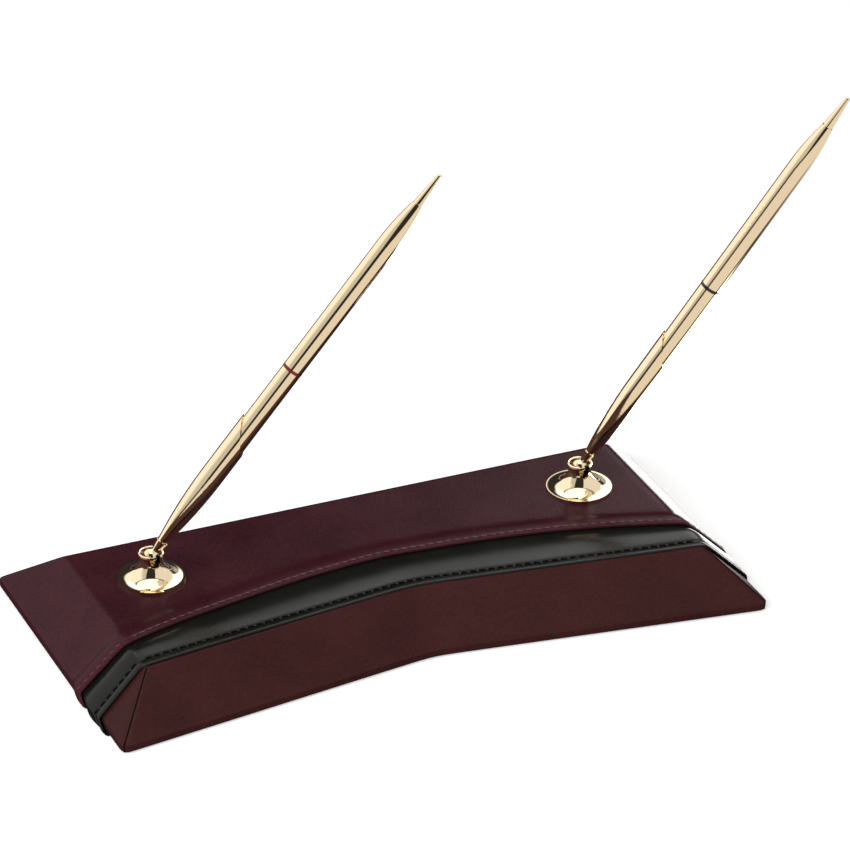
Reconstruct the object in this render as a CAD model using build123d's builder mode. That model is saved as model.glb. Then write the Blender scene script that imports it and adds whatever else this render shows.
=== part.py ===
"""Double pen stand: a leather-covered wedge block with two swivelling pen sockets and two twist pens.

The frame stands at the middle of the underside. +X runs along the stand to its right end,
+Y to the back and +Z up, in millimetres.
"""
import os
from math import cos, pi, radians, sin, sqrt

from build123d import *

os.makedirs("parts", exist_ok=True)

# Block: the outside of the leather, measured at its bottom edge
stand_length = 254.0
stand_depth = 126.0
front_fold_depth = 17.7
end_slope_inset = 17.3
front_slope_inset = 17.7
back_slope_inset = 21.9
foot_height = 3.0
crease_radius = 1.6

# Layers of the block, from the table up
felt_thickness = 0.8
felt_margin = 3.0
core_thickness = 16.0
leather_thickness = 0.8

# Edge of the burgundy cover and the black strip under it
cover_edge_middle_setback = 58.0
cover_edge_corner_setback = 38.0
cover_edge_end_setback = 38.5
cover_edge_bend = 1.0
strip_overlap = 6.0
strip_flare = {"left": 6.0, "right": 0.5}

# Sockets on the block
socket_end_distance = 41.8
socket_back_distance = 48.8
bell_radius = 12.3
bell_rim_height = 1.0
bell_wall = 0.7
neck_radius = 4.15
neck_height = 8.75
bead_radius = 0.5
bell_mouth_radius = 4.7
bell_height = 10.9
slot_width = 4.0
slot_depth = 4.9

# Swivel ball and the funnel on it
ball_radius = 2.9
ball_height = 9.2
lip_rise = 0.8
running_clearance = 0.05
funnel_length = 6.8
funnel_root_radius = 1.45
funnel_mouth_radius = 2.3
funnel_wall = 0.38
funnel_seat_gap = 0.05
ball_bore_radius = 0.95
ball_bore_depth = 0.5
cup_radius = 2.8
cup_bore_radius = 1.7
cup_height = 1.35
cup_drop = 3.1

# Spring under the cup and the insert that it stands in
spring_wire = 0.6
spring_mean_radius = 2.35
spring_quarter_turns = 10
spring_bend_radius = 0.65
insert_radius = 7.6
insert_floor = 0.6
insert_height = 1.3
spring_groove_margin = 0.15
spring_samples = 10

# Screw that holds each socket down from below
screw_radius = 1.5
screw_head_radius = 3.5
screw_head_height = 2.2
screw_hole_clearance = 0.2
thread_clearance = 0.03
screw_end_gap = 0.3
screw_slot_width = 1.0
screw_slot_depth = 1.1
washer_radius = 4.5
washer_thickness = 0.8
washer_clearance = 0.25

# Pens: distances are along the pen from the centre of its swivel ball
nose_start = 2.6
nose_radius = 1.05
nose_mouth_gap = 0.07
tip_hole_radius = 0.75
chamber_start = 10.5
chamber_start_radius = 1.6
chamber_taper_end = 30.0
chamber_radius = 3.3
sleeve_radius = 4.36
sleeve_taper_end = 38.0
sleeve_cut_low = 50.0
sleeve_cut_high = 62.7
barrel_radius = 3.78
barrel_wall = 0.45
barrel_insertion = 16.0
fit_gap = 0.03
band_start = 86.2
band_width = 1.1
band_radius = 3.84
turning_gap = 0.1
finial_length = 13.3
finial_groove_width = 0.4
finial_groove_radius = 1.7
finial_radius = 1.95
finial_end_radius = 0.9
pen_length = 174.8
crown_length = 18.5
crown_end_radius = 2.1
crown_bore_gap = 2.0
finial_stem_length = 4.5
finial_stem_radius = 1.1
refill_tip_start = 0.4
refill_tip_radius = 0.68
refill_point_radius = 0.35
refill_point_length = 1.4
refill_radius = 1.45
refill_shoulder_gap = 0.1
refill_end = 96.0
twist_unit_start = 79.0
twist_unit_end = 114.0
refill_socket_end = 100.0
refill_socket_radius = 1.5

# How each pen stands: its lean from upright, its heading in plan from +X, and which way its cut faces
lean_angle = {"left": 37.1, "right": 31.6}
heading_angle = {"left": -9.1, "right": -20.9}
cut_heading_angle = {"left": 146.0, "right": 142.0}

# Worked out from the driving sizes
board_bottom = felt_thickness
core_bottom = board_bottom + foot_height
core_top = core_bottom + core_thickness
stand_height = core_top + leather_thickness
half_length = stand_length / 2
front_y = -stand_depth / 2
back_y = stand_depth / 2
cover_edge_middle_y = front_y + cover_edge_middle_setback
cover_edge_corner_y = front_y + cover_edge_corner_setback
cover_edge_end_y = front_y + cover_edge_end_setback
socket_x = {"left": socket_end_distance - half_length, "right": half_length - socket_end_distance}
socket_y = back_y - socket_back_distance
finial_start = pen_length - finial_length
crown_start = finial_start - crown_length
bore_end = crown_start - crown_bore_gap
bore_tip_end = finial_start - finial_stem_length
far = 2 * (stand_length + stand_depth)
upright = (Align.CENTER, Align.CENTER, Align.MIN)
sides = ("left", "right")


def slope_shift(inset, crease_height, height, skin):
    """Plan distance from a face's upright foot to its line at a height, under a skin of leather."""
    slope = inset / (crease_height - core_bottom)
    return slope * max(height - core_bottom, 0) + skin * sqrt(1 + slope * slope)


def block_outline(height, skin, front_skin):
    """Five corners of the block's plan at a height, with its faces moved in by a skin."""
    end_x = half_length - slope_shift(end_slope_inset, stand_height, height, skin)
    back_line = back_y - slope_shift(back_slope_inset, stand_height, height, skin)
    fold = front_fold_depth / half_length
    front_shift = slope_shift(front_slope_inset, core_top, height, front_skin) * sqrt(1 + fold * fold)
    middle_y = front_y + front_fold_depth + front_shift
    corner_y = middle_y - fold * end_x
    return [(-end_x, corner_y), (0, middle_y), (end_x, corner_y), (end_x, back_line), (-end_x, back_line)]


def layer_between(low, high, skin, front_skin):
    """Straight-sided layer of the block between two heights."""
    with BuildPart() as layer:
        for height in (low, high):
            with BuildSketch(Plane.XY.offset(height)):
                with BuildLine():
                    Polyline(*block_outline(height, skin, front_skin), close=True)
                make_face()
        loft(ruled=True)
    return layer.part


def block_above_table(high, skin, front_skin):
    """Solid block with its upright foot and sloped sides, up to a height, inside its skins of leather."""
    with BuildPart() as block:
        add(layer_between(board_bottom, core_bottom, skin, front_skin))
        add(layer_between(core_bottom, high, skin, front_skin))
    return block.part


def zone_behind_edge(edge_shift):
    """Upright slab behind the cover's front edge, with that edge moved forward by a shift."""
    crease_x = half_length - end_slope_inset
    corner_y = cover_edge_corner_y - edge_shift
    end_y = cover_edge_end_y - edge_shift
    with BuildPart() as zone:
        with BuildSketch(Plane.XY):
            with BuildLine():
                ThreePointArc(
                    (-crease_x, corner_y),
                    (0, cover_edge_middle_y - edge_shift),
                    (crease_x, corner_y),
                )
                Polyline(
                    (crease_x, corner_y),
                    (crease_x + cover_edge_bend, end_y),
                    (far, end_y),
                    (far, far),
                    (-far, far),
                    (-far, end_y),
                    (-crease_x - cover_edge_bend, end_y),
                    (-crease_x, corner_y),
                )
            make_face()
        extrude(amount=2 * stand_height)
    return zone.part


def strip_front_line():
    """Plan line of the strip's front edge: along the front crease and splayed down both ends."""
    crease = block_outline(core_top, leather_thickness, 0)
    reach = (far - crease[2][0]) / (half_length - crease[2][0])
    left_y = crease[0][1] - strip_flare["left"] * reach
    right_y = crease[2][1] - strip_flare["right"] * reach
    return [(-far, left_y), crease[0], crease[1], crease[2], (far, right_y)]


# Block core: a solid board, stepped down where the strip and the corner panels lie
two_layers = 2 * leather_thickness
envelope = block_above_table(stand_height, 0, 0)
cover_inside = block_above_table(core_top, leather_thickness, leather_thickness)
strip_outside = block_above_table(core_top, leather_thickness, 0)
strip_inside = block_above_table(core_top - leather_thickness, two_layers, leather_thickness)
corner_inside = block_above_table(core_top, two_layers, leather_thickness)

with BuildPart() as strip_zone:
    with BuildSketch(Plane.XY):
        with BuildLine():
            Polyline(*strip_front_line(), (far, far), (-far, far), close=True)
        make_face()
    extrude(amount=2 * stand_height)
    add(zone_behind_edge(-strip_overlap), mode=Mode.SUBTRACT)

with BuildPart() as trim_strip:
    add(strip_outside)
    add(strip_inside, mode=Mode.SUBTRACT)
    add(strip_zone.part, mode=Mode.INTERSECT)
trim_strip.part.label = "trim_strip"
export_step(trim_strip.part, "parts/trim_strip.step")

with BuildPart() as corner_layer:
    add(cover_inside)
    add(corner_inside, mode=Mode.SUBTRACT)
    add(strip_zone.part, mode=Mode.SUBTRACT)
    add(zone_behind_edge(0), mode=Mode.SUBTRACT)

for side in sides:
    with BuildPart() as corner_panel:
        add(corner_layer.part)
        keep = Keep.BOTTOM if side == "left" else Keep.TOP
        split(bisect_by=Plane.YZ, keep=keep)
    corner_panel.part.label = side + "_corner_panel"
    export_step(corner_panel.part, "parts/" + side + "_corner_panel.step")

screw_spots = [(socket_x["left"], socket_y), (socket_x["right"], socket_y)]
screw_hole_radius = screw_radius + screw_hole_clearance
washer_seat = core_bottom + screw_head_height + washer_thickness + screw_hole_clearance

with BuildPart() as core_block:
    add(layer_between(core_bottom, core_top, leather_thickness, leather_thickness))
    add(trim_strip.part, mode=Mode.SUBTRACT)
    add(corner_layer.part, mode=Mode.SUBTRACT)
    with Locations(*[(x, y, core_bottom) for x, y in screw_spots]):
        Cylinder(screw_hole_radius, core_thickness, align=upright, mode=Mode.SUBTRACT)
        Cylinder(
            washer_radius + washer_clearance,
            washer_seat - core_bottom,
            align=upright,
            mode=Mode.SUBTRACT,
        )
core_block.part.label = "core_block"
export_step(core_block.part, "parts/core_block.step")

# Bottom board: thin panel that closes the core and hides the screws
with BuildPart() as bottom_board:
    add(layer_between(board_bottom, core_bottom, leather_thickness, leather_thickness))
    add(trim_strip.part, mode=Mode.SUBTRACT)
    add(corner_layer.part, mode=Mode.SUBTRACT)
bottom_board.part.label = "bottom_board"
export_step(bottom_board.part, "parts/bottom_board.step")

# Felt pad: the sheet that the stand rests on
with BuildPart() as felt_pad:
    with BuildSketch(Plane.XY):
        with BuildLine():
            Polyline(*block_outline(felt_thickness, 0, 0), close=True)
        make_face()
        offset(amount=-felt_margin, kind=Kind.INTERSECTION, mode=Mode.REPLACE)
    extrude(amount=felt_thickness)
felt_pad.part.label = "felt_pad"
export_step(felt_pad.part, "parts/felt_pad.step")

# Leather: one cover over top, back and ends, and a front panel
with BuildPart() as top_cover:
    add(envelope)
    top_edges = top_cover.edges().group_by(Axis.Z)[-1]
    fillet(top_edges.filter_by(Axis.X) + top_edges.filter_by(Axis.Y), crease_radius)
    add(cover_inside, mode=Mode.SUBTRACT)
    add(zone_behind_edge(0), mode=Mode.INTERSECT)
    with Locations(*[(x, y, core_top) for x, y in screw_spots]):
        Cylinder(screw_hole_radius, leather_thickness, align=upright, mode=Mode.SUBTRACT)
top_cover.part.label = "top_cover"
export_step(top_cover.part, "parts/top_cover.step")

with BuildPart() as front_panel:
    add(strip_outside)
    add(cover_inside, mode=Mode.SUBTRACT)
    add(strip_zone.part, mode=Mode.SUBTRACT)
front_panel.part.label = "front_panel"
export_step(front_panel.part, "parts/front_panel.step")


def socket_axis(side):
    """Upright axis of a socket."""
    return Axis((socket_x[side], socket_y, stand_height), (0, 0, 1))


def socket_plane(side):
    """Upright plane through a socket, with its origin on the cover."""
    return Plane(origin=(socket_x[side], socket_y, stand_height), x_dir=(1, 0, 0), z_dir=(0, -1, 0))


def bell_socket(side):
    """Trumpet-shaped socket with a rolled mouth, a lip over the ball and a slot at the front."""
    flare_run = bell_radius - neck_radius
    flare_rise = neck_height - bell_rim_height
    flare_radius = (flare_run**2 + flare_rise**2) / (2 * flare_run)
    centre = (neck_radius + flare_radius, neck_height)
    inside_radius = flare_radius + bell_wall
    foot_radius = bell_radius - bell_wall
    inside_foot_level = centre[1] - sqrt(inside_radius**2 - (centre[0] - foot_radius) ** 2)
    lip_height = ball_height + lip_rise
    lip_radius = sqrt((ball_radius + running_clearance) ** 2 - lip_rise**2)
    bead_x = bell_mouth_radius - bead_radius
    bead_z = bell_height - bead_radius
    half_way = cos(pi / 4)
    with BuildPart() as bell:
        with BuildSketch(socket_plane(side)):
            with BuildLine():
                Polyline(
                    (foot_radius, inside_foot_level),
                    (foot_radius, 0),
                    (bell_radius, 0),
                    (bell_radius, bell_rim_height),
                )
                ThreePointArc(
                    (bell_radius, bell_rim_height),
                    (centre[0] - flare_radius * half_way, centre[1] - flare_radius * half_way),
                    (neck_radius, neck_height),
                )
                Line((neck_radius, neck_height), (bead_x, bead_z - bead_radius))
                ThreePointArc(
                    (bead_x, bead_z - bead_radius),
                    (bell_mouth_radius, bead_z),
                    (bead_x, bell_height),
                )
                ThreePointArc(
                    (bead_x, bell_height),
                    (bead_x - bead_radius * half_way, bead_z + bead_radius * half_way),
                    (bead_x - bead_radius, bead_z),
                )
                Polyline(
                    (bead_x - bead_radius, bead_z),
                    (lip_radius, lip_height),
                    (neck_radius - bell_wall, neck_height),
                )
                ThreePointArc(
                    (neck_radius - bell_wall, neck_height),
                    (centre[0] - inside_radius * half_way, centre[1] - inside_radius * half_way),
                    (foot_radius, inside_foot_level),
                )
            make_face()
        revolve(axis=socket_axis(side))
        with BuildSketch(socket_plane(side)):
            with Locations((0, bell_height - slot_depth + slot_width / 2)):
                Circle(slot_width / 2)
                Rectangle(slot_width, 2 * slot_depth, align=(Align.CENTER, Align.MIN))
        extrude(amount=bell_radius, mode=Mode.SUBTRACT)
    return bell.part


def socket_insert(side):
    """Turned insert pressed in the bell: takes the screw from below and seats the spring."""
    groove_inner = spring_mean_radius - spring_wire / 2 - spring_groove_margin
    groove_outer = spring_mean_radius + spring_wire / 2 + spring_groove_margin
    hole_radius = screw_radius + thread_clearance
    with BuildPart() as insert:
        with BuildSketch(socket_plane(side)):
            with BuildLine():
                Polyline(
                    (hole_radius, 0),
                    (insert_radius, 0),
                    (insert_radius, insert_height),
                    (groove_outer, insert_height),
                    (groove_outer, insert_floor),
                    (groove_inner, insert_floor),
                    (groove_inner, insert_height),
                    (hole_radius, insert_height),
                    close=True,
                )
            make_face()
        revolve(axis=socket_axis(side))
    return insert.part


def ball_cup(side):
    """Ring under the swivel ball, with a round seat for the ball."""
    with BuildPart() as cup:
        with Locations((socket_x[side], socket_y, stand_height + ball_height - cup_drop)):
            Cylinder(cup_radius, cup_height, align=upright)
            Cylinder(cup_bore_radius, cup_height, align=upright, mode=Mode.SUBTRACT)
        with Locations((socket_x[side], socket_y, stand_height + ball_height)):
            Sphere(ball_radius + running_clearance, mode=Mode.SUBTRACT)
    return cup.part


def joined_arcs(start, start_way, end, end_way):
    """Two arcs that leave one point and reach another along given directions."""
    chord = end - start
    spread = 2 * (1 - start_way.dot(end_way))
    along = chord.dot(start_way + end_way)
    reach = (sqrt(along * along + spread * chord.dot(chord)) - along) / spread
    first = start + start_way * reach
    second = end - end_way * reach
    middle = (first + second) * 0.5
    return [TangentArc(start, middle, tangent=start_way), TangentArc(middle, end, tangent=second - first)]


def spring_route(side):
    """Centre line of the spring: a straight foot, the turns, and a straight head."""
    base = Vector(socket_x[side], socket_y, stand_height)
    foot_level = insert_floor
    head_level = ball_height - cup_drop
    coil_low = foot_level + spring_wire + spring_bend_radius
    climb = (head_level - spring_wire - spring_bend_radius - coil_low) / spring_quarter_turns
    slope = climb / (spring_mean_radius * pi / 2)
    up = Vector(0, 0, 1)
    points = []
    ways = []
    for step in range(spring_quarter_turns + 1):
        angle = step * pi / 2
        out = Vector(cos(angle), sin(angle), 0) * spring_mean_radius
        points.append(base + out + up * (coil_low + climb * step))
        ways.append(Vector(-sin(angle), cos(angle), slope).normalized())
    foot_bend = points[0] - Vector(0, spring_bend_radius, spring_bend_radius)
    last_way = Vector(ways[-1].X, ways[-1].Y, 0).normalized()
    head_bend = points[-1] + last_way * spring_bend_radius + up * spring_bend_radius
    route = [Line(foot_bend - up * spring_wire, foot_bend)]
    route += joined_arcs(foot_bend, up, points[0], ways[0])
    for step in range(spring_quarter_turns):
        route += joined_arcs(points[step], ways[step], points[step + 1], ways[step + 1])
    route += joined_arcs(points[-1], ways[-1], head_bend, up)
    route.append(Line(head_bend, head_bend + up * spring_wire))
    return route


def least_gap(route, wire):
    """Least clear gap between turns of a coil, measured on points along it."""
    marks = []
    travelled = 0
    for piece in route:
        for number in range(spring_samples):
            part_way = number / spring_samples
            marks.append((travelled + piece.length * part_way, piece @ part_way))
        travelled += piece.length
    half_turn = pi * spring_mean_radius
    gaps = [
        (later - earlier).length - wire
        for index, (here, earlier) in enumerate(marks)
        for there, later in marks[index:]
        if there - here > half_turn
    ]
    return min(gaps)


def socket_spring(side):
    """Coil spring that presses the ball up against the bell's lip."""
    route = spring_route(side)
    print(side, "spring, least gap between turns:", round(least_gap(route, spring_wire), 3))
    start = route[0] @ 0
    with BuildPart() as spring:
        with BuildLine():
            for piece in route:
                add(piece)
        with BuildSketch(Plane(origin=start, z_dir=(0, 0, 1))):
            Circle(spring_wire / 2)
        sweep()
    return spring.part


def ball_centre(side):
    """Centre of a socket's swivel ball, where its pen's own distances start."""
    return Vector(socket_x[side], socket_y, stand_height + ball_height)


def plan_way(angle):
    """Level direction at an angle from +X."""
    return Vector(cos(radians(angle)), sin(radians(angle)), 0)


def pen_way(side):
    """Direction from the ball up the pen."""
    lean = radians(lean_angle[side])
    return plan_way(heading_angle[side]) * sin(lean) + Vector(0, 0, cos(lean))


def pen_axis(side):
    """Long axis of a pen."""
    return Axis(ball_centre(side), pen_way(side))


def pen_plane(side):
    """Plane through a pen's axis: distance from the axis first, distance along the pen second."""
    way = pen_way(side)
    level = plan_way(cut_heading_angle[side])
    radial = (level - way * level.dot(way)).normalized()
    return Plane(origin=ball_centre(side), x_dir=radial, z_dir=radial.cross(way))


def turned(side, points):
    """Round piece on a pen's axis with a straight-sided profile."""
    with BuildPart() as piece:
        with BuildSketch(pen_plane(side)):
            with BuildLine():
                Polyline(*points, close=True)
            make_face()
        revolve(axis=pen_axis(side))
    return piece.part


def pen_holder(side):
    """Swivel ball and its funnel in one piece, bored for the nose and the point of the pen."""
    seat_level = nose_start - funnel_seat_gap
    seat_radius = nose_radius + nose_mouth_gap
    with BuildPart() as holder:
        with BuildSketch(pen_plane(side)):
            with BuildLine():
                root_level = sqrt(ball_radius**2 - funnel_root_radius**2)
                ThreePointArc((0, -ball_radius), (ball_radius, 0), (funnel_root_radius, root_level))
                Polyline(
                    (funnel_root_radius, root_level),
                    (funnel_mouth_radius, funnel_length),
                    (funnel_mouth_radius - funnel_wall, funnel_length),
                    (seat_radius, seat_level),
                    (ball_bore_radius, seat_level),
                    (ball_bore_radius, -ball_bore_depth),
                    (0, -ball_bore_depth),
                    (0, -ball_radius),
                )
            make_face()
        revolve(axis=pen_axis(side))
    return holder.part


def nose_sleeve(side):
    """Long tapered front of the pen, open at the point and cut on a slant at its upper end."""
    mouth_radius = funnel_mouth_radius - funnel_wall - nose_mouth_gap
    taper_run = sleeve_taper_end - funnel_length
    taper_rise = sleeve_radius - mouth_radius
    taper_arc = (taper_run**2 + taper_rise**2) / (2 * taper_rise)
    middle = (sleeve_taper_end + funnel_length) / 2
    middle_radius = sleeve_radius - taper_arc + sqrt(taper_arc**2 - (sleeve_taper_end - middle) ** 2)
    socket_start = sleeve_cut_high - barrel_insertion - turning_gap
    socket_radius = barrel_radius + fit_gap
    cut_slope = (sleeve_cut_high - sleeve_cut_low) / (2 * sleeve_radius)
    frame = pen_plane(side)
    cut_origin = ball_centre(side) + pen_way(side) * ((sleeve_cut_high + sleeve_cut_low) / 2)
    cut_plane = Plane(origin=cut_origin, z_dir=pen_way(side) - frame.x_dir * cut_slope)
    with BuildPart() as sleeve:
        with BuildSketch(frame):
            with BuildLine():
                Polyline(
                    (tip_hole_radius, nose_start),
                    (nose_radius, nose_start),
                    (mouth_radius, funnel_length),
                )
                ThreePointArc(
                    (mouth_radius, funnel_length),
                    (middle_radius, middle),
                    (sleeve_radius, sleeve_taper_end),
                )
                Polyline(
                    (sleeve_radius, sleeve_taper_end),
                    (sleeve_radius, sleeve_cut_high),
                    (socket_radius, sleeve_cut_high),
                    (socket_radius, socket_start),
                    (chamber_radius, socket_start),
                    (chamber_radius, chamber_taper_end),
                    (chamber_start_radius, chamber_start),
                    (tip_hole_radius, chamber_start),
                    (tip_hole_radius, nose_start),
                )
            make_face()
        revolve(axis=pen_axis(side))
        split(bisect_by=cut_plane, keep=Keep.BOTTOM)
    return sleeve.part


def lower_barrel(side):
    """Tube that stands in the sleeve and carries the colour band."""
    start = sleeve_cut_high - barrel_insertion
    inside = barrel_radius - barrel_wall
    outline = [(inside, start), (barrel_radius, start), (barrel_radius, band_start), (inside, band_start)]
    return turned(side, outline)


def colour_band(side):
    """Dark band round the middle of the pen that tells the colour of its ink."""
    inside = barrel_radius - barrel_wall
    end = band_start + band_width
    outline = [(inside, band_start), (band_radius, band_start), (band_radius, end), (inside, end)]
    return turned(side, outline)


def upper_barrel(side):
    """Upper tube, which turns to draw the point in, closing to a slim crown."""
    start = band_start + band_width + turning_gap
    inside = barrel_radius - barrel_wall
    crown_run = finial_start - crown_start
    crown_rise = barrel_radius - crown_end_radius
    crown_arc = (crown_run**2 + crown_rise**2) / (2 * crown_rise)
    middle = (finial_start + crown_start) / 2
    middle_radius = barrel_radius - crown_arc + sqrt(crown_arc**2 - (middle - crown_start) ** 2)
    stem_hole = finial_stem_radius + fit_gap
    with BuildPart() as barrel:
        with BuildSketch(pen_plane(side)):
            with BuildLine():
                Line((barrel_radius, start), (barrel_radius, crown_start))
                ThreePointArc(
                    (barrel_radius, crown_start),
                    (middle_radius, middle),
                    (crown_end_radius, finial_start),
                )
                Polyline(
                    (crown_end_radius, finial_start),
                    (stem_hole, finial_start),
                    (stem_hole, bore_tip_end),
                    (inside, bore_end),
                    (inside, start),
                    (barrel_radius, start),
                )
            make_face()
        revolve(axis=pen_axis(side))
    return barrel.part


def finial(side):
    """Slim pointed end with a round tip, a groove under it and a stem in the barrel."""
    shoulder = finial_start + finial_groove_width
    tip_start = pen_length - finial_end_radius
    half_way = finial_end_radius * cos(pi / 4)
    with BuildPart() as end_piece:
        with BuildSketch(pen_plane(side)):
            with BuildLine():
                Polyline(
                    (0, bore_tip_end),
                    (finial_stem_radius, bore_tip_end),
                    (finial_stem_radius, finial_start),
                    (finial_groove_radius, finial_start),
                    (finial_groove_radius, shoulder),
                    (finial_radius, shoulder),
                    (finial_end_radius, tip_start),
                )
                ThreePointArc(
                    (finial_end_radius, tip_start),
                    (half_way, tip_start + half_way),
                    (0, pen_length),
                )
                Line((0, pen_length), (0, bore_tip_end))
            make_face()
        revolve(axis=pen_axis(side))
    return end_piece.part


def twist_unit(side):
    """Brass unit in the upper barrel that holds the refill and draws it in when turned."""
    outside = barrel_radius - barrel_wall - running_clearance
    return turned(
        side,
        [
            (refill_socket_radius, twist_unit_start),
            (outside, twist_unit_start),
            (outside, twist_unit_end),
            (0, twist_unit_end),
            (0, refill_socket_end),
            (refill_socket_radius, refill_socket_end),
        ],
    )


def refill(side):
    """Ball-point refill: tube, slim neck and writing point."""
    shoulder = chamber_start + refill_shoulder_gap
    return turned(
        side,
        [
            (0, refill_tip_start),
            (refill_point_radius, refill_tip_start),
            (refill_tip_radius, refill_tip_start + refill_point_length),
            (refill_tip_radius, shoulder),
            (refill_radius, shoulder),
            (refill_radius, refill_end),
            (0, refill_end),
        ],
    )


side_pieces = {
    "bell_socket": bell_socket,
    "socket_insert": socket_insert,
    "socket_spring": socket_spring,
    "ball_cup": ball_cup,
    "pen_holder": pen_holder,
    "nose_sleeve": nose_sleeve,
    "lower_barrel": lower_barrel,
    "colour_band": colour_band,
    "upper_barrel": upper_barrel,
    "finial": finial,
    "twist_unit": twist_unit,
    "refill": refill,
}

for side in sides:
    for piece_name, make_piece in side_pieces.items():
        piece = make_piece(side)
        piece.label = side + "_" + piece_name
        export_step(piece, "parts/" + piece.label + ".step")

# Fasteners: one screw and one washer under each socket
screw_end = stand_height + insert_height - screw_end_gap
screw_head_bottom = washer_seat - washer_thickness - screw_head_height

with BuildPart() as socket_screws:
    with Locations(*[(x, y, screw_head_bottom) for x, y in screw_spots]):
        Cylinder(screw_head_radius, screw_head_height, align=upright)
        Cylinder(screw_radius, screw_end - screw_head_bottom, align=upright)
        Box(screw_slot_width, 2 * screw_head_radius, screw_slot_depth, align=upright, mode=Mode.SUBTRACT)
socket_screws.part.label = "socket_screws"
export_step(socket_screws.part, "parts/socket_screws.step")

with BuildPart() as socket_washers:
    with Locations(*[(x, y, washer_seat - washer_thickness) for x, y in screw_spots]):
        Cylinder(washer_radius, washer_thickness, align=upright)
        Cylinder(screw_hole_radius, washer_thickness, align=upright, mode=Mode.SUBTRACT)
socket_washers.part.label = "socket_washers"
export_step(socket_washers.part, "parts/socket_washers.step")
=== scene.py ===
# %% [markdown]
# # Double pen stand
# A low desk block covered in burgundy leather, with a black leather strip along its front, two gold
# trumpet sockets and two gold twist pens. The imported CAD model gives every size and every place. This
# notebook dresses it: first the camera, floor and light, then the finishes of the hard parts, which stay
# as the CAD model has them, then the leather pieces and the stitches, which are made here.

from math import atan2, cos, exp, pi, radians, sin, sqrt, tan

import bmesh
import bpy
from mathutils import Matrix, Vector


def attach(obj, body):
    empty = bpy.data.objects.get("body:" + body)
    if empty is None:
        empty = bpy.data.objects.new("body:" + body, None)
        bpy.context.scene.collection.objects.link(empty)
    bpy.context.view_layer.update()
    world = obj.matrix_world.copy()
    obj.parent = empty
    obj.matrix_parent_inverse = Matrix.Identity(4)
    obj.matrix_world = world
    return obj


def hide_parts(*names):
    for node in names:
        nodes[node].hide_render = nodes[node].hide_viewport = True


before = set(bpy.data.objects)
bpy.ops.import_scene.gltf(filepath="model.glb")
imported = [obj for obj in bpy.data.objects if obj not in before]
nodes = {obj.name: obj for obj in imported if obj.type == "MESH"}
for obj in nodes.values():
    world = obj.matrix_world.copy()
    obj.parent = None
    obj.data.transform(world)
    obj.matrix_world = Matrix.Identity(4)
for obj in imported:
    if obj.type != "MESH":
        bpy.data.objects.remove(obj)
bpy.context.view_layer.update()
scene = bpy.context.scene
MM = 0.001

# %% [markdown]
# ## Sizes of the block
# The leather pieces are laid over the block in code, so they need its main lines again: the foot, the
# creases at the top of each slope, the fold in the front and the two curved leather edges. They are the
# CAD model's own sizes, in metres.

# %% Main lines of the block
HALF_LENGTH = 127 * MM
FRONT_Y = -63 * MM
BACK_Y = 63 * MM
FOLD = 17.7 / 127
FOOT_TOP = 3.8 * MM
STRIP_LEVEL = 19.8 * MM
TOP = 20.6 * MM
LAYER = 0.8 * MM
CREASE_X = 109.7 * MM
END_INSET = 17.3 * MM
BACK_INSET = 21.9 * MM
FRONT_RISE = 17.87 * MM
COVER_EDGE_MIDDLE = -5 * MM
COVER_EDGE_CORNER = -25 * MM
SOCKET_X = 85.2 * MM
SOCKET_Y = 14.2 * MM

# %% [markdown]
# ## Camera
# The view of the photograph was worked out from the block's corners: a long lens, above and to the left
# of the front. The shift centres the picture without turning the camera.

# %% Camera
CAMERA_PLACE = (-0.5846, -1.3258, 0.8696)
camera_data = bpy.data.cameras.new("camera")
camera_data.sensor_width = 36.0
camera_data.lens = 195.58
camera_data.shift_x = 0.0179
camera_data.shift_y = 0.2098
camera_data.clip_start = 0.05
camera = bpy.data.objects.new("camera", camera_data)
scene.collection.objects.link(camera)
view_right = Vector((0.9150, -0.4033, 0.0111)).normalized()
view_ahead = Vector((0.3508, 0.7818, -0.5154)).normalized()
view_up = view_right.cross(view_ahead).normalized()
camera.matrix_world = Matrix.Translation(CAMERA_PLACE) @ Matrix(
    (view_right, view_up, -view_ahead)
).transposed().to_4x4()
scene.camera = camera
print("camera looks along", [round(v, 3) for v in view_ahead])

# %% [markdown]
# ## Floor
# The stand is shown on plain white. A background without a floor could do that, but it would take no
# shadow. This white floor takes the block's own soft shadow and glows a little to the camera, so that it
# stays white beside the block. Mirror rays see another table: light in front of the block and far to the
# right, dark burgundy beside and behind it, as the gold shows it in the photograph, and a bright card
# close to the right end, whose gloss turns that end white.


# %% Node helpers
def new_material(name):
    """Empty material with its shader node."""
    material = bpy.data.materials.new(name)
    material.use_nodes = True
    tree = material.node_tree
    return material, tree, tree.nodes["Principled BSDF"]


def feed(tree, socket, value):
    """Links a socket, or sets a plain value, into another socket."""
    if isinstance(value, bpy.types.NodeSocket):
        tree.links.new(value, socket)
    elif value is not None:
        socket.default_value = value


def link_maths(tree, operation, first, second=None, third=None):
    """Adds a maths node between sockets or plain numbers."""
    node = tree.nodes.new("ShaderNodeMath")
    node.operation = operation
    for socket, value in zip(node.inputs, (first, second, third)):
        feed(tree, socket, value)
    return node.outputs[0]


def soft_step(tree, value, low, high):
    """Smooth step of a socket between two levels, falling when the first level is the higher."""
    node = tree.nodes.new("ShaderNodeMapRange")
    node.interpolation_type = "SMOOTHSTEP"
    rising = high > low
    node.inputs["From Min"].default_value = min(low, high)
    node.inputs["From Max"].default_value = max(low, high)
    node.inputs["To Min"].default_value = 0.0 if rising else 1.0
    node.inputs["To Max"].default_value = 1.0 if rising else 0.0
    tree.links.new(value, node.inputs["Value"])
    return node.outputs["Result"]


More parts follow.
